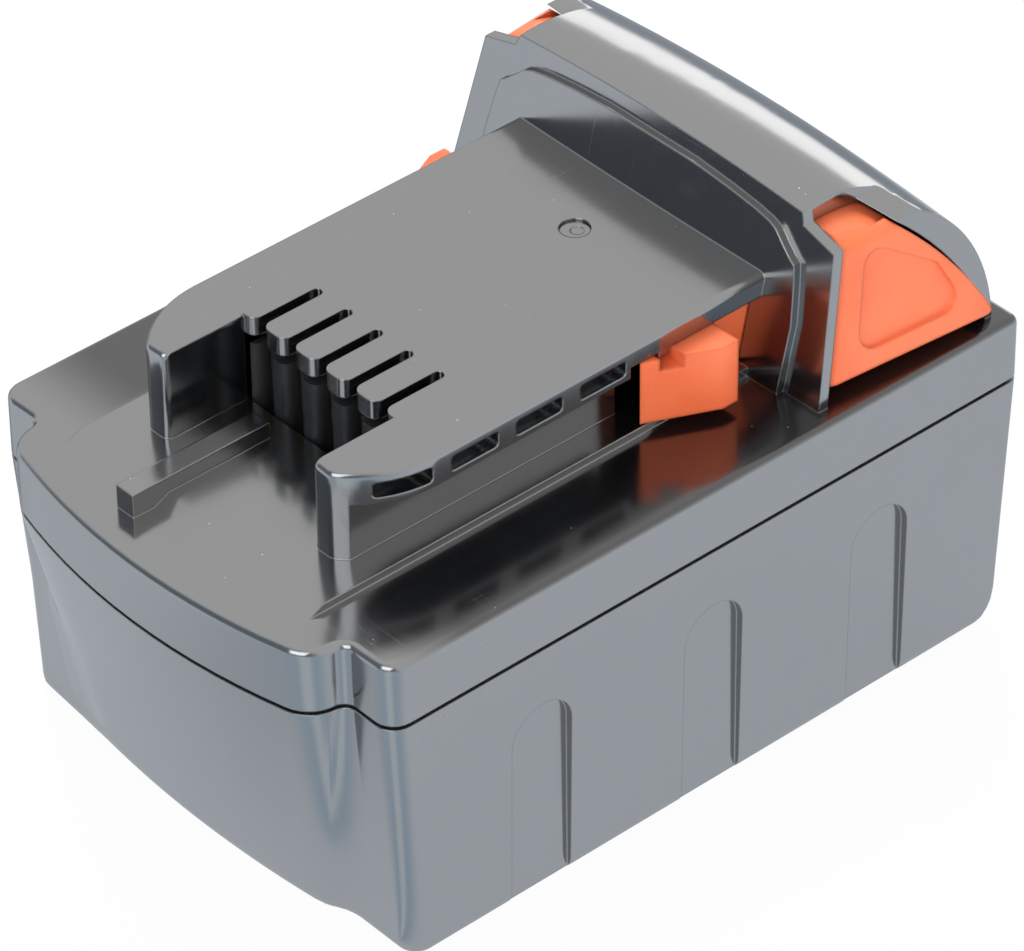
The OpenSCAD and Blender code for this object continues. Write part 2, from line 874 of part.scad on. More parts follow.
module terminal_contact(i) {
    x = (i - 3) * slot_pitch;
    low = board_z + board_t;
    y0 = block_front + 2.2;
    y1 = block_back - 2.8;
    color([0.8, 0.72, 0.45])
    difference() {
        box(x - 0.8, x + 0.8, y0, y1, low + 0.02, block_top - 1);
        box(x - 0.35, x + 0.35, y0 - 1, y1 - 1.2, low + 2.6, block_top);
        along_x(x - 1, x + 1)
            polygon([[y0 - 0.1, low + 2.4], [y0 + 3.6, low + 2.4], [y0 - 0.1, low + 7]]);
    }
}

module at_standoffs() {
    for (x = [-standoff_x, standoff_x], y = [board_y0 + 5, board_y1 - 5])
        translate([x, y, 0]) children();
}

module circuit_board() {
    color([0.05, 0.28, 0.14])
    difference() {
        box(-board_half, board_half, board_y0, board_y1, board_z, board_z + board_t);
        at_standoffs()
            cylinder(d = 2.8, h = deck_z, $fn = 32);
        translate([0, plug_y, 0])
            cylinder(d = 7.4, h = deck_z, $fn = 48);
    }
}

module power_switches() {
    z0 = board_z + board_t + 0.02;
    color([0.04, 0.04, 0.05])
        for (x = [-switch_far, -switch_near, switch_near, switch_far])
            difference() {
                box(x - 4.2, x + 4.2, head_y + 4, head_y + 11, z0, z0 + 1.7);
                translate([x, head_y + 10, z0 + 1.4])
                    cylinder(d = 1.6, h = 1, $fn = 24);
            }
}

module control_chip() {
    z0 = board_z + board_t + 0.02;
    color([0.05, 0.05, 0.06])
        difference() {
            box(-16, -8, head_y - 20, head_y - 12, z0, z0 + 1.4);
            translate([-15, head_y - 13, z0 + 1.2])
                cylinder(d = 1, h = 1, $fn = 24);
        }
}

module board_tray() {
    color([0.16, 0.16, 0.17])
    difference() {
        union() {
            box(-board_half - 1.5, board_half + 1.5, board_y0 - 8, board_y1 + 1, tray_z, tray_z + tray_t);
            at_standoffs()
                translate([0, 0, tray_z])
                    cylinder(d = 5.4, h = board_z - tray_z, $fn = 40);
            translate([0, plug_y, tray_z])
                cylinder(d = 6, h = pad_z + 0.5 - tray_z, $fn = 48);
        }
        at_standoffs()
            translate([0, 0, tray_z - 1])
                cylinder(d = 2.06, h = 6, $fn = 32);
        translate([0, plug_y, board_z - 2])
            cylinder(d = bore_d, h = deck_z, $fn = 32);
        for (k = [-1, 1])
            box(-10, 10, block_y + k * pitch - 5, block_y + k * pitch + 5, tray_z - 1, tray_z + tray_t + 1);
    }
}

// A screw with a rounded head and a cross drive, head upward from z = 0
module screw(d, length, top_d, top_h) {
    difference() {
        union() {
            translate([0, 0, -length]) cylinder(d = d, h = length + 0.2, $fn = 32);
            cylinder(d = top_d, h = top_h, $fn = 40);
        }
        for (a = [0, 90])
            rotate([0, 0, a])
                translate([-top_d * 0.28, -0.3, top_h * 0.45])
                    cube([top_d * 0.56, 0.6, top_h]);
    }
}

module board_screws() {
    color([0.7, 0.7, 0.72])
        at_standoffs()
            translate([0, 0, board_z + board_t + 0.03])
                screw(2, 4.4, 3.8, 1.4);
}

module case_screws() {
    color([0.35, 0.35, 0.37])
        at_screws()
            translate([0, 0, seat_z])
                mirror([0, 0, 1])
                    screw(screw_d, case_screw_l, head_d, screw_top_h);
}

module cover_screw() {
    color([0.35, 0.35, 0.37])
        translate([0, plug_y, plate_z - 3.55])
            screw(screw_d, cover_screw_l, cover_head_d, cover_top_h);
}

module screw_plug() {
    color([0.06, 0.06, 0.065])
        translate([0, plug_y, plate_z - 1.55])
            difference() {
                cylinder(d = plug_d, h = 1.15, $fn = 48);
                translate([0.2, 0.2, 1]) cylinder(d = 1.9, h = 1, $fn = 32);
            }
}

function cell_y(i) = block_y + (i - (columns - 1) / 2) * pitch;
function cell_z(row) = block_z + holder_wall + pitch / 2 + row * pitch;

// Cells are counted along the lower row, then along the upper row
module cell(number) {
    column = (number - 1) % columns;
    row = floor((number - 1) / columns);
    turn = column % 2 == 0 ? 90 : -90;
    color([0.12, 0.28, 0.62])
        translate([0, cell_y(column), cell_z(row)])
            rotate([0, turn, 0])
                difference() {
                    union() {
                        translate([0, 0, -cell_l / 2])
                            cylinder(d = cell_d, h = cell_l - 0.7, $fn = 72);
                        cylinder(d = 6.4, h = cell_l / 2, $fn = 48);
                    }
                    translate([0, 0, cell_l / 2 - 3.4])
                        difference() {
                            cylinder(d = cell_d + 1, h = 0.5, $fn = 72);
                            cylinder(d = cell_d - 0.6, h = 0.5, $fn = 72);
                        }
                }
}

module cell_holder() {
    end_x = cell_l / 2 + 0.05;
    color([0.2, 0.2, 0.21])
    difference() {
        box(end_x - 12, end_x + 0.4, block_y - block_l / 2 - holder_wall, block_y + block_l / 2 + holder_wall,
            block_z, cell_z(rows - 1) + pitch / 2 + holder_wall);
        for (column = [0:columns - 1], row = [0:rows - 1])
            translate([0, cell_y(column), cell_z(row)])
                rotate([0, 90, 0]) {
                    cylinder(d = cell_d + 0.2, h = end_x, $fn = 72);
                    cylinder(d = cell_d - 3.4, h = end_x + 5, $fn = 72);
                }
        for (column = [0:columns - 2])
            translate([end_x - 13, (cell_y(column) + cell_y(column + 1)) / 2, (cell_z(0) + cell_z(1)) / 2])
                rotate([0, 90, 0])
                    cylinder(d = 5, h = 20, $fn = 32);
        at_screws()
            cylinder(d = boss_d + 0.6, h = deck_z, $fn = 48);
    }
}

module cell_holder_right() {
    cell_holder();
}

module cell_holder_left() {
    mirror([1, 0, 0]) cell_holder();
}

// A nickel link over some columns, slit at each weld, with a tab up to the board
module cell_link(first, count) {
    top = board_z + board_t + 0.02;
    y_mid = cell_y(first + (count - 1) / 2);
    color([0.78, 0.78, 0.76]) {
        along_x(link_x, link_x + link_t)
            difference() {
                union() {
                    translate([cell_y(first) - 6, cell_z(0) - 6])
                        square([(count - 1) * pitch + 12, pitch + 12]);
                    translate([y_mid - 2.5, cell_z(1)])
                        square([5, top + link_t - cell_z(1)]);
                }
                for (column = [first : first + count - 1], row = [0:rows - 1])
                    translate([cell_y(column) - 0.5, cell_z(row) - 3])
                        square([1, 6]);
                if (count > 1)
                    translate([y_mid, (cell_z(0) + cell_z(1)) / 2])
                        circle(d = 8, $fn = 40);
            }
        box(board_half - 1.8, link_x + link_t, y_mid - 2.5, y_mid + 2.5, top, top + link_t);
    }
}

module insulator() {
    color([0.9, 0.88, 0.8])
        along_x(sheet_x, sheet_x + sheet_t)
            difference() {
                translate([block_y - block_l / 2, block_z + 0.6])
                    square([block_l, rows * pitch - 0.4]);
                for (side = [-1, 1])
                    translate([block_y + side * block_l / 2, block_z])
                        circle(r = 5, $fn = 32);
            }
}

module insulator_right() {
    insulator();
}

module insulator_left() {
    mirror([1, 0, 0]) insulator();
}

module gauge_board() {
    color([0.05, 0.28, 0.14])
        at_gauge()
            difference() {
                translate([-gauge_half, -4.5, gauge_board_z])
                    cube([2 * gauge_half, 9, gauge_board_t - 0.02]);
                for (side = [-1, 1])
                    translate([side * (gauge_half - 1.6), 0, 0])
                        cylinder(d = 1.6, h = head_r, $fn = 24);
            }
}

module gauge_switch() {
    z0 = gauge_board_z + gauge_board_t;
    color([0.1, 0.1, 0.1])
        at_gauge()
            translate([gauge_x, 0, z0]) {
                translate([-2, -2, 0]) cube([4, 4, 1.1]);
                cylinder(d = 2, h = 1.5, $fn = 32);
            }
}

module gauge_button() {
    low = gauge_board_z + gauge_board_t + 1.5 + gauge_travel + 0.1;
    flange_z = head_r - head_wall - 0.7;
    color([0.12, 0.12, 0.13])
        at_gauge()
            translate([gauge_x, 0, 0]) {
                translate([0, 0, flange_z - 1])
                    cylinder(d = gauge_d, h = face_z + 0.3 - flange_z + 1, $fn = 48);
                translate([0, 0, flange_z - 1])
                    cylinder(d = gauge_d + 1.4, h = 1, $fn = 48);
                translate([0, 0, low])
                    cylinder(d = 2.6, h = flange_z - low, $fn = 32);
            }
}

module gauge_lens(i) {
    low = gauge_board_z + gauge_board_t + 0.05;
    color([0.75, 0.1, 0.08])
        at_gauge()
            translate([lens_x + (i - 1) * lens_pitch, 0, 0]) {
                translate([0, 0, low])
                    cylinder(d = lens_d, h = face_z + 0.15 - low, $fn = 32);
                translate([0, 0, low])
                    cylinder(d = 3.1, h = 1.6, $fn = 32);
            }
}

// Flat cable from the gauge board down through the deck to the main board
module gauge_ribbon() {
    under = gauge_board_z - 0.02;
    y_at = function (v, w) head_cy + w * cos(gauge_a) + v * sin(gauge_a);
    z_at = function (v, w) head_cz + w * sin(gauge_a) - v * cos(gauge_a);
    path = [
        [y_at(1, under), z_at(1, under)],
        [y_at(4, under), z_at(4, under)],
        [y_at(4.6, under - 1.4), z_at(4.6, under - 1.4)],
        [head_y + 16.6, deck_z + 2.4],
        [head_y + 16, deck_z],
        [head_y + 16, board_z + board_t + 0.35],
        [head_y + 15.4, board_z + board_t + 0.04]
    ];
    back = [
        [head_y + 14, board_z + board_t + 0.04],
        [head_y + 14, board_z + board_t + 0.4],
        [head_y + 15.2, board_z + board_t + 0.5],
        [head_y + 15.5, deck_z],
        [head_y + 16.1, deck_z + 2.7],
        [y_at(4, under - 1.9), z_at(4, under - 1.9)],
        [y_at(3.6, under - 0.5), z_at(3.6, under - 0.5)],
        [y_at(1, under - 0.5), z_at(1, under - 0.5)]
    ];
    color([0.85, 0.8, 0.55])
        along_x(-4, 4)
            polygon(concat(path, back));
}

lower_case();
upper_cover();
right_latch();
left_latch();
right_latch_spring();
left_latch_spring();
terminal_block();
for (i = [1:5])
    terminal_contact(i);
circuit_board();
power_switches();
control_chip();
board_tray();
board_screws();
for (i = [1:columns * rows])
    cell(i);
cell_holder_right();
cell_holder_left();
for (i = [1:3])
    cell_link(right_links[i - 1][0], right_links[i - 1][1]);
for (i = [1:3])
    mirror([1, 0, 0]) cell_link(left_links[i - 1][0], left_links[i - 1][1]);
insulator_right();
insulator_left();
case_screws();
cover_screw();
screw_plug();
gauge_board();
gauge_switch();
gauge_button();
gauge_ribbon();
for (i = [1:4])
    gauge_lens(i);
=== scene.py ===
"""Looks of a cordless tool's battery pack: dressed shells, finishes, floor, light and camera."""

import json
import math

import bmesh
import bpy
from bpy.props import FloatProperty, FloatVectorProperty, PointerProperty
from bpy.types import Operator, Panel, PropertyGroup
from mathutils import Matrix, Vector

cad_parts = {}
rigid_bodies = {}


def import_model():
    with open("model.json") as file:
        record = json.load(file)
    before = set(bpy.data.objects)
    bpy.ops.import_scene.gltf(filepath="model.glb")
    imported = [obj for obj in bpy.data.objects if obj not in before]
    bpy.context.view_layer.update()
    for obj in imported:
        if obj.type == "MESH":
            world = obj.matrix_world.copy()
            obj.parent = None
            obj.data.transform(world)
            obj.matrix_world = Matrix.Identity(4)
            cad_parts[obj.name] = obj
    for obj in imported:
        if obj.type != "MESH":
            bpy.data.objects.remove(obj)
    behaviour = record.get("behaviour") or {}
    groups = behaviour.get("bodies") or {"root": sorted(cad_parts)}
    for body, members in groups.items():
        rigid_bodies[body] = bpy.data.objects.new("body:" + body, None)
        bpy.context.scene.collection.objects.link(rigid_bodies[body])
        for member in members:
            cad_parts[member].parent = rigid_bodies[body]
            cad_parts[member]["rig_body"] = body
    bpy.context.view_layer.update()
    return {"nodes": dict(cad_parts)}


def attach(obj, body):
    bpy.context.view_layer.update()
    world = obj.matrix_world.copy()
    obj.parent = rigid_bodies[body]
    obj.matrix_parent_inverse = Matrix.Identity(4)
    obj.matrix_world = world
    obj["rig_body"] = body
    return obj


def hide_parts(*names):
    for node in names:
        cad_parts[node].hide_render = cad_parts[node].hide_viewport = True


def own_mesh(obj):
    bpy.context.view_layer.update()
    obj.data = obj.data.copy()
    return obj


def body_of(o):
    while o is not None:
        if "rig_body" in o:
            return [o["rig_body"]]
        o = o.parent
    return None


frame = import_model()
NODES = frame["nodes"]

bl_info = {
    "name": "Battery Pack Looks",
    "version": (1, 0, 0),
    "blender": (4, 5, 0),
    "location": "View3D > Sidebar > Battery Pack",
    "description": "Finishes, rounded edges, studio and camera for a battery pack",
    "category": "Object",
}

MM = 0.001

# Points closer than this are one, and faces thinner than this are dropped
WELD = 0.002 * MM
SLIVER = 0.004 * MM
# Edges that turn further than this stay sharp
SHARP_ANGLE = math.radians(32.0)
# Faces that turn less than this lie in one flat patch, and a larger patch than this is shaded level
FLAT_COS = math.cos(math.radians(0.5))
FLAT_AREA = 40.0 * MM * MM
# Layer that the weighted normals read, and its highest value
FACE_STRENGTH = "__mod_weightednormals_faceweight"
STRONG = 16384

# Fill at the bow's left end: its bounds across, along and up in mm
FILL_BOW, FILL_CORNER, FILL_END = -20.5, -36.0, -36.7
FILL_BACK, FILL_SKIN, FILL_FRONT = -44.0, -46.75, -47.5
FILL_LOW, FILL_RING, FILL_HIGH = 0.2, 20.0, 30.0
# Normals of the outer skin point further forward than this
FILL_FACING = -0.1
# Way forward of the corner at the base in mm
FILL_FORWARD = 0.9

# Reflective power of the finishes, and the strips of deck beside the rail that reflect less
CASE_IOR, STRIP_IOR, LENS_IOR, PLASTIC_IOR = 3.8, 2.1, 1.58, 1.5
STRIP_SIDE = (24.5 * MM, 27.0 * MM)
STRIP_FRONT = (-50.0 * MM, -36.0 * MM)
STRIP_TOP = (53.5 * MM, 52.6 * MM)
STRIP_FOOT = (50.9 * MM, 51.6 * MM)
# Half length of a cell's sleeve, from its last full ring to its rim, and where it starts to pucker
SLEEVE_RIM = (31.2 * MM, 31.5 * MM)
SLEEVE_PUCKER = (26.0 * MM, 31.0 * MM)

# Camera: place, then azimuth, elevation and roll in degrees, film width in mm and clipping
CAMERA_PLACE = (0.537506, -0.465017, 0.590451)
CAMERA_ANGLES = (48.858, 38.086, -0.674)
CAMERA_FILM = 36.0
CAMERA_CLIP = (0.05, 30.0)
# Lamps: name, place, height aimed at, width, power, and whether they show in reflections
LAMPS = (
    ("high_box", (-0.55, 0.35, 0.95), 0.04, 0.7, 11.0, False),
    ("right_box", (1.1, -0.35, 0.50), 0.04, 0.6, 6.0, False),
    ("front_box", (0.35, -1.0, 0.75), 0.04, 0.9, 6.0, True),
    ("rear_box", (-1.15, 1.5, 0.22), 0.06, 0.8, 3.2, True),
)
# Rays that see the white background
SEEN_RAYS = ("Is Camera Ray", "Is Glossy Ray", "Is Transmission Ray")
WHITE = (1.0, 1.0, 1.0)
# The floor lies a little low, and this share of it shows white while the rest keeps the shadow
FLOOR_DROP = 0.05 * MM
FLOOR_SHOWN = 0.94
# Tints of the floor in reflections, and the bounds of the tinted areas: painted reflected shade in front, on
# the left and in a bluish band off the right corner, with a lighter painted highlight streak inside that band
FLOOR_PLAIN = (0.86, 0.92, 1.0)
FLOOR_FRONT_PAINTED_SHADE = (0.64, 0.70, 0.78)
FLOOR_CORNER_PAINTED_SHADE = (0.54, 0.68, 0.82)
FLOOR_PAINTED_HIGHLIGHT_STREAK = (0.84, 0.93, 1.0)
FLOOR_LEFT_PAINTED_SHADE = (0.42, 0.47, 0.54)
FRONT_ALONG = (-50.0 * MM, -95.0 * MM)
FRONT_FROM = (-60.0 * MM, 10.0 * MM)
FRONT_TO = (50.0 * MM, 25.0 * MM)
LEFT_ACROSS = (-70.0 * MM, -85.0 * MM)
LEFT_ALONG = (-70.0 * MM, -45.0 * MM)
CORNER_PLACE = (35.0 * MM, -50.0 * MM)
CORNER_BEARING = math.radians(-55.0)
CORNER_SPREAD = (math.radians(80.0), math.radians(25.0))
STREAK_SPREAD = (math.radians(26.0), math.radians(4.0))
# Colour and strength of the room for matt faces, in front and elsewhere in reflections, and to the eye
ROOM_MATT = ((0.94, 0.97, 1.0), 0.45)
ROOM_FRONT = ((0.72, 0.86, 1.0), 0.3)
ROOM_PLAIN = (WHITE, 0.87)
ROOM_SEEN = (WHITE, 1.0)
ROOM_AHEAD = (-0.15, -0.65)


def colour_property(name, description, default):
    return FloatVectorProperty(
        name=name, description=description, default=default, size=3, subtype="COLOR", min=0.0, max=1.0
    )


def length_property(name, description, default):
    return FloatProperty(
        name=name,
        description=description,
        default=default,
        min=0.0,
        unit="LENGTH",
        subtype="DISTANCE",
        precision=5,
    )


def share_property(name, description, default):
    return FloatProperty(
        name=name, description=description, default=default, min=0.0, max=1.0, subtype="FACTOR"
    )


class ShellLooks(PropertyGroup):
    """Colours, roughness and rounding of the pieces that are seen from outside."""

    case_colour: colour_property("Case", "Colour of the moulded case", (0.005, 0.0055, 0.0065))
    latch_colour: colour_property("Latch", "Colour of the release latches", (0.93, 0.165, 0.058))
    block_colour: colour_property("Terminal block", "Colour of the terminal block", (0.020, 0.021, 0.023))
    dust_colour: colour_property("Dust", "Colour of the dust specks", (0.62, 0.62, 0.60))
    scuff_colour: colour_property("Scuffs", "Colour of the latches' hairlines", (0.95, 0.45, 0.25))
    lens_colour: colour_property("Lens", "Colour of the gauge lenses", (0.45, 0.03, 0.02))
    case_rough: share_property("Case roughness", "Roughness of the moulded case", 0.16)
    case_edge: length_property("Case edge", "Rounding of the case's sharp edges", 0.35 * MM)
    latch_edge: length_property("Latch edge", "Rounding of the latch's sharp edges", 0.70 * MM)
    block_edge: length_property("Block edge", "Rounding of the terminal block's edges", 0.15 * MM)


class InnerLooks(PropertyGroup):
    """Colours of the pieces inside the case."""

    sleeve_colour: colour_property("Cell sleeve", "Colour of the cells' shrink sleeve", (0.02, 0.16, 0.42))
    holder_colour: colour_property("Holder", "Colour of the cell holders", (0.10, 0.10, 0.11))
    board_colour: colour_property("Board", "Colour of the circuit boards", (0.01, 0.14, 0.06))
    paper_colour: colour_property("Insulator", "Colour of the insulating sheets", (0.72, 0.68, 0.55))
    copper_colour: colour_property("Contact", "Colour of the plated contacts", (0.80, 0.62, 0.36))
    nickel_colour: colour_property("Nickel", "Colour of the cell links", (0.66, 0.64, 0.60))
    steel_colour: colour_property("Steel", "Colour of springs and screws", (0.56, 0.57, 0.58))
    rubber_colour: colour_property("Button", "Colour of the gauge button", (0.05, 0.05, 0.055))
    switch_colour: colour_property("Switch", "Colour of the gauge switch", (0.03, 0.03, 0.033))
    film_colour: colour_property("Ribbon", "Colour of the gauge's film lead", (0.62, 0.40, 0.10))
    epoxy_colour: colour_property("Chips", "Colour of the cast chips", (0.025, 0.025, 0.028))


class StudioLooks(PropertyGroup):
    """Floor, light and camera."""

    floor_colour: colour_property("Floor", "Colour of the pale floor", (0.86, 0.88, 0.90))
    lens: FloatProperty(
        name="Lens", description="Focal length in mm on a 36 mm wide film", default=234.8, min=1.0
    )
    floor_reach: length_property("Floor reach", "Half width of the floor", 6.0)


class Value:
    """One output of a node, for use in expressions."""

    def __init__(self, finish, socket):
        self.finish = finish
        self.socket = socket

    def _with(self, operation, first, second):
        return self.finish.node("ShaderNodeMath", {"operation": operation}, {0: first, 1: second})

    def __add__(self, other):
        return self._with("ADD", self, other)

    def __radd__(self, other):
        return self._with("ADD", other, self)

    def __sub__(self, other):
        return self._with("SUBTRACT", self, other)

    def __rsub__(self, other):
        return self._with("SUBTRACT", other, self)

    def __mul__(self, other):
        return self._with("MULTIPLY", self, other)

    def __rmul__(self, other):
        return self._with("MULTIPLY", other, self)

    def __gt__(self, other):
        return self._with("GREATER_THAN", self, other)

    def __lt__(self, other):
        return self._with("LESS_THAN", self, other)

    def size(self):
        return self._with("ABSOLUTE", self, 0.0)

    def turn(self, other):
        """Angle of the point whose y is this value and whose x is the other."""
        return self._with("ARCTAN2", self, other)

    def step(self, low, high):
        """Rises smoothly from 0 at low to 1 at high, or falls where low is the greater."""
        return self.finish.node(
            "ShaderNodeMapRange",
            {"interpolation_type": "SMOOTHSTEP", "clamp": True},
            {"Value": self, "From Min": low, "From Max": high, "To Min": 0.0, "To Max": 1.0},
        )


class Finish:
    """The nodes of a material or world and the one way to add to them."""

    def __init__(self, owner):
        owner.use_nodes = True
        self.owner = owner
        self.tree = owner.node_tree
        self.tree.nodes.clear()

    def node(self, kind, settings=None, sockets=None, output=0):
        made = self.tree.nodes.new(kind)
        for name, value in (settings or {}).items():
            setattr(made, name, value)
        for key, value in (sockets or {}).items():
            self.put(made.inputs[key], value)
        return Value(self, made.outputs[output]) if made.outputs else None

    def put(self, socket, value):
        if isinstance(value, Value):
            self.tree.links.new(value.socket, socket)
        elif socket.type == "RGBA":
            socket.default_value = (*value, 1.0)
        else:
            socket.default_value = value

    def place(self):
        return self.node("ShaderNodeTexCoord", output=3)

    def stretched(self, scale):
        sockets = {"Vector": self.place(), "Scale": scale}
        return self.node("ShaderNodeMapping", {"vector_type": "POINT"}, sockets)

    def axis(self, vector, index):
        return self.node("ShaderNodeSeparateXYZ", None, {0: vector}, output=index)

    def noise(self, scale, detail=2.0, rough=0.5, vector=None):
        return self.node(
            "ShaderNodeTexNoise",
            {"noise_dimensions": "3D"},
            {"Vector": vector or self.place(), "Scale": scale, "Detail": detail, "Roughness": rough},
        )

    def cells(self, scale, output=0):
        sockets = {"Vector": self.place(), "Scale": scale}
        return self.node("ShaderNodeTexVoronoi", {"feature": "F1"}, sockets, output)

    def mix(self, share, first, second):
        return self.node("ShaderNodeMix", {"data_type": "RGBA"}, {0: share, 6: first, 7: second}, output=2)

    def facing_up(self):
        return self.axis(self.node("ShaderNodeNewGeometry", output=1), 2)

    def eased(self, radius):
        """Normal that turns round sharp edges as a small radius would."""
        return self.node("ShaderNodeBevel", {"samples": 6}, {"Radius": radius})

    def bump(self, height, strength, distance, normal=None):
        sockets = {"Strength": strength, "Distance": distance, "Height": height}
        if normal is not None:
            sockets["Normal"] = normal
        return self.node("ShaderNodeBump", None, sockets)

    def surface(self, colour, rough, normal, **others):
        sockets = {"Base Color": colour, "Roughness": rough, "Normal": normal}
        for name, value in others.items():
            sockets[name.replace("_", " ")] = value
        return self.node("ShaderNodeBsdfPrincipled", None, sockets)

    def close(self, shader, end="ShaderNodeOutputMaterial"):
        self.node(end, None, {"Surface": shader})
        return self.owner


def tint(colour, factor):
    return tuple(min(channel * factor, 1.0) for channel in colour)


def specks(finish, scale, reach, share):
    """Small grains of dust, one in some of the cells."""
    near = finish.cells(scale).step(reach, reach * 0.45)
    pick = finish.axis(finish.cells(scale, output=1), 0) > 1.0 - share
    return near * pick


def scratches(finish, along, across, share):
    """Fine hairlines in one direction, broken up by a slow noise."""
    line = finish.noise(1.0, 1.0, 0.5, finish.stretched((along, across, across)))
    patch = finish.noise(45.0, 1.0)
    return line.step(1.0 - share, 1.0 - share + 0.03) * patch.step(0.5, 0.62)


def moulded_case(name, colour, rough, dust, edge):
    """Black moulded plastic with a satin shine, dust on its upper faces and a few hairlines."""
    finish = Finish(bpy.data.materials.new(name))
    flow = finish.noise(28.0, 3.0, 0.55)
    grain = finish.noise(2600.0, 2.0, 0.6)
    smear = finish.noise(75.0, 4.0, 0.6, finish.stretched((1.0, 2.4, 1.0)))
    top = finish.facing_up().step(0.2, 0.8)
    dusty = specks(finish, 330.0, 0.05, 0.16) * top + specks(finish, 900.0, 0.08, 0.05) * (top * 0.7 + 0.3)
    worn = scratches(finish, 40.0, 2600.0, 0.30) + scratches(finish, 2300.0, 55.0, 0.29)
    body = finish.mix(flow.step(0.3, 0.7), tint(colour, 0.85), tint(colour, 1.2))
    body = finish.mix(worn * 0.2, body, tint(colour, 5.0))
    body = finish.mix(dusty, body, dust)
    shine = rough + (smear - 0.5) * 0.12 + worn * 0.08 + dusty * 0.45
    relief = grain * 0.3 + flow * 0.5 + dusty * 2.0 - worn * 0.3
    normal = finish.bump(relief, 0.10, 0.02 * MM, finish.eased(edge))
    glossy = finish.surface(body, shine, normal, IOR=CASE_IOR)
    quiet = finish.surface(body, shine, normal, IOR=STRIP_IOR)
    place = finish.place()
    across, along, high = (finish.axis(place, i) for i in range(3))
    beside = across.size().step(*STRIP_SIDE) * along.step(*STRIP_FRONT)
    deck = high.step(*STRIP_TOP) * high.step(*STRIP_FOOT)
    return finish.close(finish.node("ShaderNodeMixShader", None, {0: beside * deck, 1: glossy, 2: quiet}))


def moulded_latch(name, colour, dust, scuff, edge):
    """Bright moulded plastic with a soft shine and rubbed patches."""
    finish = Finish(bpy.data.materials.new(name))
    flow = finish.noise(60.0, 3.0, 0.55)
    grain = finish.noise(3000.0, 2.0, 0.6)
    rub = finish.noise(140.0, 4.0, 0.65)
    dusty = specks(finish, 420.0, 0.05, 0.08)
    worn = scratches(finish, 60.0, 2400.0, 0.29)
    body = finish.mix(flow.step(0.3, 0.7), tint(colour, 0.93), (colour[0], colour[1] * 1.25, colour[2] * 1.4))
    body = finish.mix(worn * 0.3, body, scuff)
    body = finish.mix(dusty * 0.7, body, dust)
    shine = 0.36 + (rub - 0.5) * 0.2 + worn * 0.15
    normal = finish.bump(grain * 0.6 + flow * 0.6 - worn * 0.5, 0.12, 0.02 * MM, finish.eased(edge))
    return finish.close(finish.surface(body, shine, normal, IOR=PLASTIC_IOR))


def grained_plastic(name, colour, rough, grain_scale, edge=0.1 * MM):
    """Dark plastic with a spark-eroded grain."""
    finish = Finish(bpy.data.materials.new(name))
    grain = finish.noise(grain_scale, 3.0, 0.65)
    patch = finish.noise(90.0, 3.0)
    body = finish.mix(patch.step(0.3, 0.7), tint(colour, 0.8), tint(colour, 1.35))
    shine = rough + (grain - 0.5) * 0.2
    normal = finish.bump(grain, 0.35, 0.05 * MM, finish.eased(edge))
    return finish.close(finish.surface(body, shine, normal, IOR=PLASTIC_IOR))


def plated_metal(name, colour, rough, along):
    """Plated or drawn metal with fine lines along one axis and slow stains."""
    finish = Finish(bpy.data.materials.new(name))
    lines = finish.noise(1.0, 2.0, 0.6, finish.stretched(along))
    stain = finish.noise(160.0, 4.0, 0.6)
    body = finish.mix(stain.step(0.35, 0.75), colour, tint(colour, 0.72))
    shine = rough + (stain - 0.5) * 0.18 + (lines - 0.5) * 0.12
    normal = finish.bump(lines, 0.12, 0.02 * MM)
    return finish.close(finish.surface(body, shine, normal, Metallic=1.0))


def cell_sleeve(name, colour, steel):
    """Shrink sleeve over a steel can, open at both ends."""
    finish = Finish(bpy.data.materials.new(name))
    across = finish.axis(finish.place(), 0).size()
    ends = across.step(*SLEEVE_RIM)
    flow = finish.noise(120.0, 3.0)
    folds = finish.noise(1.0, 2.0, 0.5, finish.stretched((120.0, 900.0, 900.0)))
    pucker = folds * across.step(*SLEEVE_PUCKER)
    body = finish.mix(flow.step(0.3, 0.7), tint(colour, 0.85), tint(colour, 1.15))
    body = finish.mix(ends, body, steel)
    normal = finish.bump(flow * 0.4 + pucker, 0.25, 0.06 * MM)
    return finish.close(finish.surface(body, 0.3 + flow * 0.1, normal, Metallic=ends, IOR=PLASTIC_IOR))


def coated_board(name, colour):
    """Coated board with faint tracks and glass weave."""
    finish = Finish(bpy.data.materials.new(name))
    tracks = finish.node(
        "ShaderNodeTexBrick",
        {"offset": 0.37, "squash": 0.6},
        {
            "Vector": finish.place(),
            "Scale": 240.0,
            "Mortar Size": 0.06,
            "Color1": (0, 0, 0),
            "Color2": (0, 0, 0),
            "Mortar": (1, 1, 1),
        },
        output=1,
    )
    weave = finish.noise(1.0, 1.0, 0.5, finish.stretched((1400.0, 1400.0, 300.0)))
    body = finish.mix(tracks * 0.55, colour, tint(colour, 2.4))
    normal = finish.bump(tracks + weave * 0.4, 0.2, 0.04 * MM)
    return finish.close(finish.surface(body, 0.34 + weave * 0.12, normal, IOR=PLASTIC_IOR))


def fibre_sheet(name, colour):
    """Pressed insulating sheet with short fibres."""
    finish = Finish(bpy.data.materials.new(name))
    fibre = finish.noise(1.0, 4.0, 0.6, finish.stretched((900.0, 260.0, 1500.0)))
    body = finish.mix(fibre.step(0.35, 0.7), tint(colour, 0.8), tint(colour, 1.08))
    normal = finish.bump(fibre, 0.3, 0.05 * MM)
    return finish.close(finish.surface(body, 0.62 + fibre * 0.15, normal, IOR=PLASTIC_IOR))


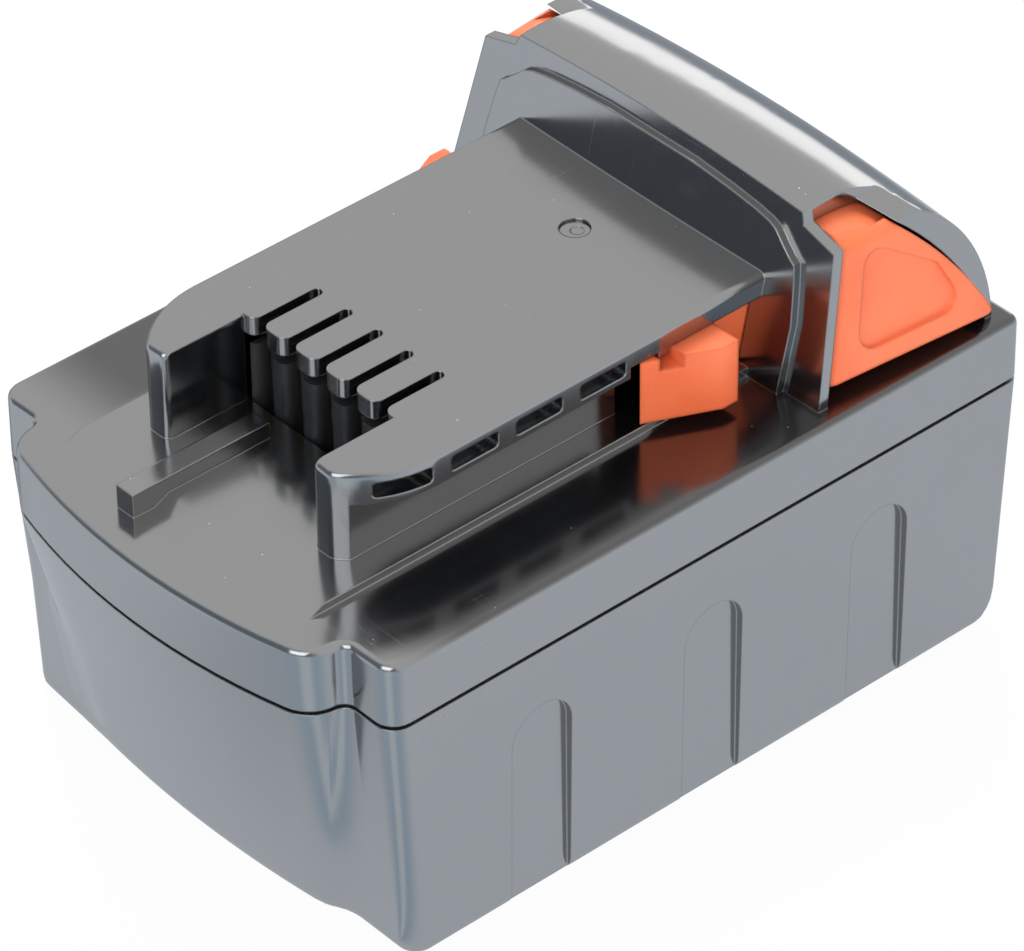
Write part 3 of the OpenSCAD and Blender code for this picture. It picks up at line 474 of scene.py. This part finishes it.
def tinted_lens(name, colour):
    """Clear tinted plastic with a frosted back."""
    finish = Finish(bpy.data.materials.new(name))
    haze = finish.noise(500.0, 3.0)
    body = finish.mix(haze.step(0.3, 0.7), tint(colour, 0.7), tint(colour, 1.25))
    normal = finish.bump(haze, 0.08, 0.03 * MM)
    coat = {"Coat_Weight": 0.6, "Coat_Roughness": 0.05}
    return finish.close(finish.surface(body, 0.12 + haze * 0.1, normal, IOR=LENS_IOR, **coat))


def wear(material, *names):
    """Gives CAD nodes that stay as they are a finish."""
    for name in names:
        node = NODES[name]
        node.data.materials.clear()
        node.data.materials.append(material)


def flat_areas(shape):
    """Area of the flat patch that each face belongs to."""
    areas = {}
    for start in shape.faces:
        if start in areas:
            continue
        patch, waiting = {start}, [start]
        while waiting:
            face = waiting.pop()
            for line in face.edges:
                for other in line.link_faces:
                    if other not in patch and other.normal.dot(start.normal) > FLAT_COS:
                        patch.add(other)
                        waiting.append(other)
        total = sum(face.calc_area() for face in patch)
        for face in patch:
            areas.setdefault(face, total)
    return areas


def rise(value, low, high):
    """Rises smoothly from 0 at low to 1 at high."""
    share = min(max((value - low) / (high - low), 0.0), 1.0)
    return share * share * (3.0 - 2.0 * share)


def fill_left_corner(shape):
    """Runs the tub's skin straight from the bow's left end to the corner, and returns the faces there."""
    rings = {}
    for point in shape.verts:
        x, y, z = (length / MM for length in point.co)
        outside = point.normal.y < FILL_FACING
        if outside and x < FILL_BOW and y < FILL_BACK and FILL_LOW < z < FILL_HIGH:
            forward = FILL_FORWARD * max(1.0 - z / FILL_RING, 0.0) * rise(-y, -FILL_BACK, -FILL_FRONT)
            if x < FILL_CORNER:
                point.co.y -= forward * MM
            if x > FILL_END and y < FILL_SKIN:
                rings.setdefault(round(z, 1), []).append(point)
    for ring in rings.values():
        bow = max(ring, key=lambda point: point.co.x).co.copy()
        end = min(ring, key=lambda point: point.co.x).co.copy()
        for point in ring:
            point.co.y = bow.y + (end.y - bow.y) * (point.co.x - bow.x) / (end.x - bow.x)
    moved = {point for ring in rings.values() for point in ring}
    return {face for face in shape.faces if all(point in moved for point in face.verts)}


def smoothed(node, name, fill=None):
    """A copy of a CAD node's skin, shaded soft on its curves and level on its flat patches."""
    shape = bmesh.new()
    shape.from_mesh(NODES[node].data)
    bmesh.ops.remove_doubles(shape, verts=shape.verts, dist=WELD)
    bmesh.ops.dissolve_degenerate(shape, edges=shape.edges, dist=SLIVER)
    strength = shape.faces.layers.int.new(FACE_STRENGTH)
    areas = flat_areas(shape)
    shape.normal_update()
    filled = fill(shape) if fill else set()
    shape.normal_update()
    for face in shape.faces:
        face.smooth = True
        face[strength] = STRONG if face in filled or areas[face] > FLAT_AREA else 0
    for line in shape.edges:
        line.smooth = len(line.link_faces) == 2 and line.calc_face_angle(0.0) < SHARP_ANGLE
    mesh = bpy.data.meshes.new(name)
    shape.to_mesh(mesh)
    shape.free()
    piece = bpy.data.objects.new(name, mesh)
    bpy.context.scene.collection.objects.link(piece)
    weighted = piece.modifiers.new("Weighted normals", "WEIGHTED_NORMAL")
    weighted.keep_sharp = True
    weighted.use_face_influence = True
    return piece


def stand_for(piece, node, material):
    """Shows a dressed piece in a CAD node's place, on the same body."""
    piece.data.materials.append(material)
    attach(piece, body_of(NODES[node])[0])
    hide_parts(node)


class DressCase(Operator):
    """Rounds and finishes the tub and the cover."""

    bl_idname = "battery_pack.dress_case"
    bl_label = "Dress the case"

    def execute(self, context):
        looks = context.scene.battery_shell
        colour, dust = looks.case_colour[:], looks.dust_colour[:]
        black = moulded_case("moulded_case", colour, looks.case_rough, dust, looks.case_edge)
        stand_for(smoothed("lower_case", "case_tub", fill_left_corner), "lower_case", black)
        stand_for(smoothed("upper_cover", "case_cover"), "upper_cover", black)
        stand_for(smoothed("screw_plug", "cover_plug"), "screw_plug", black)
        return {"FINISHED"}


class DressLatches(Operator):
    """Rounds and finishes both latches, and gives their springs a finish and a mesh of their own."""

    bl_idname = "battery_pack.dress_latches"
    bl_label = "Dress the latches"

    def execute(self, context):
        looks = context.scene.battery_shell
        inner = context.scene.battery_inner
        colour, dust, scuff = looks.latch_colour[:], looks.dust_colour[:], looks.scuff_colour[:]
        bright = moulded_latch("moulded_latch", colour, dust, scuff, looks.latch_edge)
        steel = plated_metal("spring_wire", inner.steel_colour[:], 0.28, (200.0, 900.0, 900.0))
        for side in ("right", "left"):
            latch = side + "_latch"
            spring, slide = latch + "_spring", latch + "_slide"
            stand_for(smoothed(latch, side + "_release"), latch, bright)
            coil = smoothed(spring, side + "_coil")
            stand_for(coil, spring, steel)
            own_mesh(coil)
        return {"FINISHED"}


class DressTerminals(Operator):
    """Finishes the terminal block and its contacts."""

    bl_idname = "battery_pack.dress_terminals"
    bl_label = "Dress the terminals"

    def execute(self, context):
        looks = context.scene.battery_shell
        inner = context.scene.battery_inner
        dark = grained_plastic("terminal_plastic", looks.block_colour[:], 0.5, 1500.0, looks.block_edge)
        stand_for(smoothed("terminal_block", "contact_block"), "terminal_block", dark)
        copper = plated_metal("contact_plating", inner.copper_colour[:], 0.26, (900.0, 120.0, 900.0))
        wear(copper, *["terminal_contact_%d" % i for i in range(1, 6)])
        return {"FINISHED"}


class DressGauge(Operator):
    """Finishes the charge gauge in the rear of the head."""

    bl_idname = "battery_pack.dress_gauge"
    bl_label = "Dress the gauge"

    def execute(self, context):
        looks = context.scene.battery_shell
        inner = context.scene.battery_inner
        lens = tinted_lens("gauge_lens", looks.lens_colour[:])
        wear(lens, *["gauge_lens_%d" % i for i in range(1, 5)])
        rubber = grained_plastic("gauge_rubber", inner.rubber_colour[:], 0.45, 1800.0)
        stand_for(smoothed("gauge_button", "charge_button"), "gauge_button", rubber)
        wear(coated_board("gauge_board_coat", inner.board_colour[:]), "gauge_board")
        wear(grained_plastic("switch_body", inner.switch_colour[:], 0.5, 2200.0), "gauge_switch")
        wear(fibre_sheet("ribbon_film", inner.film_colour[:]), "gauge_ribbon")
        return {"FINISHED"}


class DressInside(Operator):
    """Finishes the cells, their holders and links, the boards and the screws."""

    bl_idname = "battery_pack.dress_inside"
    bl_label = "Dress the inside"

    def execute(self, context):
        inner = context.scene.battery_inner
        steel = inner.steel_colour[:]
        sleeve = cell_sleeve("cell_sleeve", inner.sleeve_colour[:], steel)
        wear(sleeve, *["cell_%d" % i for i in range(1, 11)])
        holder = grained_plastic("holder_plastic", inner.holder_colour[:], 0.48, 900.0)
        wear(holder, "cell_holder_right", "cell_holder_left", "board_tray")
        nickel = plated_metal("nickel_strip", inner.nickel_colour[:], 0.3, (900.0, 60.0, 900.0))
        wear(nickel, *["cell_link_%s_%d" % (side, i) for side in ("right", "left") for i in range(1, 4)])
        wear(fibre_sheet("insulating_sheet", inner.paper_colour[:]), "insulator_right", "insulator_left")
        wear(coated_board("main_board_coat", inner.board_colour[:]), "circuit_board")
        epoxy = grained_plastic("chip_epoxy", inner.epoxy_colour[:], 0.5, 2500.0)
        wear(epoxy, "power_switches", "control_chip")
        screw = plated_metal("screw_zinc", steel, 0.32, (700.0, 700.0, 90.0))
        wear(screw, "board_screws", "case_screws", "cover_screw")
        return {"FINISHED"}


class SetStage(Operator):
    """Lays the floor, hangs the lights and sets the camera."""

    bl_idname = "battery_pack.set_stage"
    bl_label = "Set the stage"

    def execute(self, context):
        scene = context.scene
        looks = scene.battery_studio
        scene.view_settings.view_transform = "Standard"
        self.lay_floor(scene, looks.floor_reach, looks.floor_colour[:])
        self.white_world(scene)
        for lamp in LAMPS:
            self.hang(scene, *lamp)
        self.set_camera(scene, looks.lens)
        return {"FINISHED"}

    def lay_floor(self, scene, reach, colour):
        mesh = bpy.data.meshes.new("floor")
        corners = [(-reach, -reach, 0), (reach, -reach, 0), (reach, reach, 0), (-reach, reach, 0)]
        mesh.from_pydata(corners, [], [(0, 1, 2, 3)])
        floor = bpy.data.objects.new("floor", mesh)
        floor.location.z = -FLOOR_DROP
        scene.collection.objects.link(floor)
        floor.data.materials.append(self.pale_floor(colour))

    def pale_floor(self, colour):
        """White to the eye, tinted in reflections with painted shade and a painted streak, with a faint
        shadow left in.
        """
        finish = Finish(bpy.data.materials.new("pale_floor"))
        cloudy = finish.mix(finish.noise(3.0, 2.0), colour, tint(colour, 1.03))
        lit = finish.node("ShaderNodeBsdfDiffuse", None, {"Color": cloudy, "Roughness": 0.5})
        eye, glossy, through = (finish.node("ShaderNodeLightPath", output=ray) for ray in SEEN_RAYS)
        shown = finish.mix(eye, self.painted_floor_reflection(finish), WHITE)
        glow = finish.node("ShaderNodeEmission", None, {"Color": shown, "Strength": 1.0})
        seen = (eye + glossy + through) * FLOOR_SHOWN
        return finish.close(finish.node("ShaderNodeMixShader", None, {0: seen, 1: lit, 2: glow}))

    def painted_floor_reflection(self, finish):
        """Tint of the floor in shiny faces: painted reflected shade in front and on the left, and off the
        right corner a bluish painted shade band with a lighter painted highlight streak.
        """
        place = finish.place()
        across, along = (finish.axis(place, i) for i in range(2))
        ahead = along.step(*FRONT_ALONG) * across.step(*FRONT_FROM) * across.step(*FRONT_TO)
        bearing = (along - CORNER_PLACE[1]).turn(across - CORNER_PLACE[0])
        turned = (bearing - CORNER_BEARING).size()
        aside = across.step(*LEFT_ACROSS) * along.step(*LEFT_ALONG)
        # Painted reflections: in glossy rays the floor's glow is dimmed in front, on the left and off the
        # right corner, which paints shade and a streak onto the shiny case
        shown = finish.mix(ahead, FLOOR_PLAIN, FLOOR_FRONT_PAINTED_SHADE)
        shown = finish.mix(turned.step(*CORNER_SPREAD), shown, FLOOR_CORNER_PAINTED_SHADE)
        shown = finish.mix(turned.step(*STREAK_SPREAD), shown, FLOOR_PAINTED_HIGHLIGHT_STREAK)
        return finish.mix(aside, shown, FLOOR_LEFT_PAINTED_SHADE)

    def white_world(self, scene):
        """White to the eye, soft on matt faces, and dim in front so that shiny faces keep some contrast."""
        scene.world = bpy.data.worlds.new("white_room")
        room = Finish(scene.world)

        def light(colour, strength):
            return room.node("ShaderNodeBackground", None, {"Color": colour, "Strength": strength})

        def blend(share, first, second):
            return room.node("ShaderNodeMixShader", None, {0: share, 1: first, 2: second})

        eye, glossy, through = (room.node("ShaderNodeLightPath", output=ray) for ray in SEEN_RAYS)
        ahead = room.axis(room.node("ShaderNodeTexCoord", output=0), 1).step(*ROOM_AHEAD)
        mirrored = blend(ahead, light(*ROOM_PLAIN), light(*ROOM_FRONT))
        seen = blend(eye, mirrored, light(*ROOM_SEEN))
        room.close(blend(eye + glossy + through, light(*ROOM_MATT), seen), "ShaderNodeOutputWorld")

    def hang(self, scene, name, place, aim, width, power, mirrored):
        light = bpy.data.lights.new(name, "AREA")
        light.shape = "SQUARE"
        light.size = width
        light.energy = power
        holder = bpy.data.objects.new(name, light)
        holder.location = place
        holder.rotation_mode = "QUATERNION"
        holder.rotation_quaternion = (Vector((0, 0, aim)) - Vector(place)).to_track_quat("-Z", "Y")
        holder.visible_glossy = mirrored
        scene.collection.objects.link(holder)

    def set_camera(self, scene, lens):
        camera = bpy.data.cameras.new("photo_camera")
        camera.sensor_fit = "HORIZONTAL"
        camera.sensor_width = CAMERA_FILM
        camera.lens = lens
        camera.clip_start, camera.clip_end = CAMERA_CLIP
        holder = bpy.data.objects.new("photo_camera", camera)
        scene.collection.objects.link(holder)
        azimuth, elevation, roll = (math.radians(angle) for angle in CAMERA_ANGLES)
        flat = math.cos(elevation)
        back = Vector((math.sin(azimuth) * flat, -math.cos(azimuth) * flat, math.sin(elevation)))
        right = Vector((math.cos(azimuth), math.sin(azimuth), 0.0))
        up = back.cross(right)
        rolled_right = right * math.cos(roll) + up * math.sin(roll)
        rolled_up = up * math.cos(roll) - right * math.sin(roll)
        turn = Matrix((rolled_right, rolled_up, back)).transposed().to_4x4()
        holder.matrix_world = Matrix.Translation(CAMERA_PLACE) @ turn
        scene.camera = holder


STEPS = (DressCase, DressLatches, DressTerminals, DressGauge, DressInside, SetStage)


class BatteryPackPanel(Panel):
    """Lists the steps that dress the battery pack."""

    bl_idname = "VIEW3D_PT_battery_pack"
    bl_label = "Battery Pack"
    bl_space_type = "VIEW_3D"
    bl_region_type = "UI"
    bl_category = "Battery Pack"

    def draw(self, context):
        for step in STEPS:
            self.layout.operator(step.bl_idname)


CLASSES = (ShellLooks, InnerLooks, StudioLooks, *STEPS, BatteryPackPanel)


def register():
    for made in CLASSES:
        bpy.utils.register_class(made)
    bpy.types.Scene.battery_shell = PointerProperty(type=ShellLooks)
    bpy.types.Scene.battery_inner = PointerProperty(type=InnerLooks)
    bpy.types.Scene.battery_studio = PointerProperty(type=StudioLooks)


def unregister():
    del bpy.types.Scene.battery_studio
    del bpy.types.Scene.battery_inner
    del bpy.types.Scene.battery_shell
    for made in reversed(CLASSES):
        bpy.utils.unregister_class(made)


def main():
    register()
    bpy.ops.battery_pack.dress_case()
    bpy.ops.battery_pack.dress_latches()
    bpy.ops.battery_pack.dress_terminals()
    bpy.ops.battery_pack.dress_gauge()
    bpy.ops.battery_pack.dress_inside()
    bpy.ops.battery_pack.set_stage()


if __name__ == "__main__":
    main()
